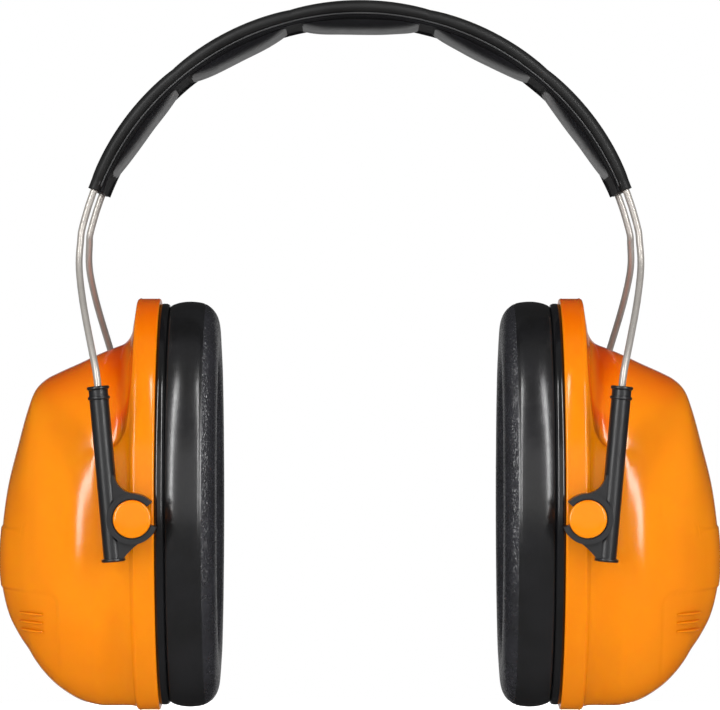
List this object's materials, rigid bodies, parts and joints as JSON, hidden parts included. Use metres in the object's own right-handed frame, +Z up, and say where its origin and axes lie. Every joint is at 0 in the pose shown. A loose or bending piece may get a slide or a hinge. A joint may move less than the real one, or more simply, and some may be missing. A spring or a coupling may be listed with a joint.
{
  "type": "hearing protection earmuffs",
  "caption": "Over-the-head ear defenders: ear cups with sealing cushions slide and tilt on arms that ride a sprung wire headband under a padded strap.",
  "frame": {"origin": "the underside of the middle crown pad, where the band rests on the head", "axes": "+Z up, +X the wearer's ear to ear axis, -Y the front"},
  "size_m": [0.1764, 0.0904, 0.1722],
  "materials": {
    "spring_steel": "bright drawn spring wire",
    "stop_steel": "crimped steel sleeve",
    "strap_vinyl": "fine grained black vinyl",
    "pad_vinyl": "soft black vinyl with a slight sheen",
    "pad_foam": "open cell foam",
    "arm_plastic": "glossy black moulding",
    "bush_plastic": "satin black moulding",
    "shell_plastic": "satin orange moulding",
    "plate_plastic": "matte black moulding",
    "cushion_vinyl": "soft black vinyl",
    "cushion_foam": "soft foam",
    "liner_foam": "open cell foam",
    "damping_foam": "open cell foam"
  },
  "bodies": {
    "headband": {"front_wire": "spring_steel", "rear_wire": "spring_steel", "headband_strap": "strap_vinyl", "headband_liner": "pad_vinyl", "crown_pad_foam_1": "pad_foam", "crown_pad_foam_2": "pad_foam", "crown_pad_foam_3": "pad_foam", "crown_pad_foam_4": "pad_foam", "crown_pad_foam_5": "pad_foam", "left_front_wire_stop": "stop_steel", "left_rear_wire_stop": "stop_steel", "right_front_wire_stop": "stop_steel", "right_rear_wire_stop": "stop_steel"},
    "left_front_arm": {"left_front_arm": "arm_plastic", "left_front_arm_bush": "bush_plastic"},
    "left_rear_arm": {"left_rear_arm": "arm_plastic", "left_rear_arm_bush": "bush_plastic"},
    "left_cup": {"left_cup_shell": "shell_plastic", "left_cushion_plate": "plate_plastic", "left_ear_cushion": "cushion_vinyl", "left_cushion_foam": "cushion_foam", "left_liner_foam": "liner_foam", "left_damping_foam": "damping_foam"},
    "right_front_arm": {"right_front_arm": "arm_plastic", "right_front_arm_bush": "bush_plastic"},
    "right_rear_arm": {"right_rear_arm": "arm_plastic", "right_rear_arm_bush": "bush_plastic"},
    "right_cup": {"right_cup_shell": "shell_plastic", "right_cushion_plate": "plate_plastic", "right_ear_cushion": "cushion_vinyl", "right_cushion_foam": "cushion_foam", "right_liner_foam": "liner_foam", "right_damping_foam": "damping_foam"}
  },
  "joints": [
    {"name": "left_front_height", "type": "slide", "parent": "headband", "child": "left_front_arm", "axis": [0.0892, 0, -0.996], "range_m": [0, 0.029]},
    {"name": "left_rear_height", "type": "slide", "parent": "headband", "child": "left_rear_arm", "axis": [0.0892, 0, -0.996], "range_m": [0, 0.029]},
    {"name": "left_cup_tilt", "type": "hinge", "parent": "left_front_arm", "child": "left_cup", "pos_m": [-0.0535, -0.042, -0.1184], "axis": [0, 1, 0], "range_deg": [-12, 12]},
    {"name": "right_front_height", "type": "slide", "parent": "headband", "child": "right_front_arm", "axis": [-0.0892, 0, -0.996], "range_m": [0, 0.029]},
    {"name": "right_rear_height", "type": "slide", "parent": "headband", "child": "right_rear_arm", "axis": [-0.0892, 0, -0.996], "range_m": [0, 0.029]},
    {"name": "right_cup_tilt", "type": "hinge", "parent": "right_front_arm", "child": "right_cup", "pos_m": [0.0535, -0.042, -0.1184], "axis": [0, 1, 0], "range_deg": [-12, 12]}
  ],
  "couplings": [
    {"joint": "left_rear_height", "follows": "left_front_height", "ratio": 1},
    {"joint": "right_rear_height", "follows": "right_front_height", "ratio": 1}
  ]
}
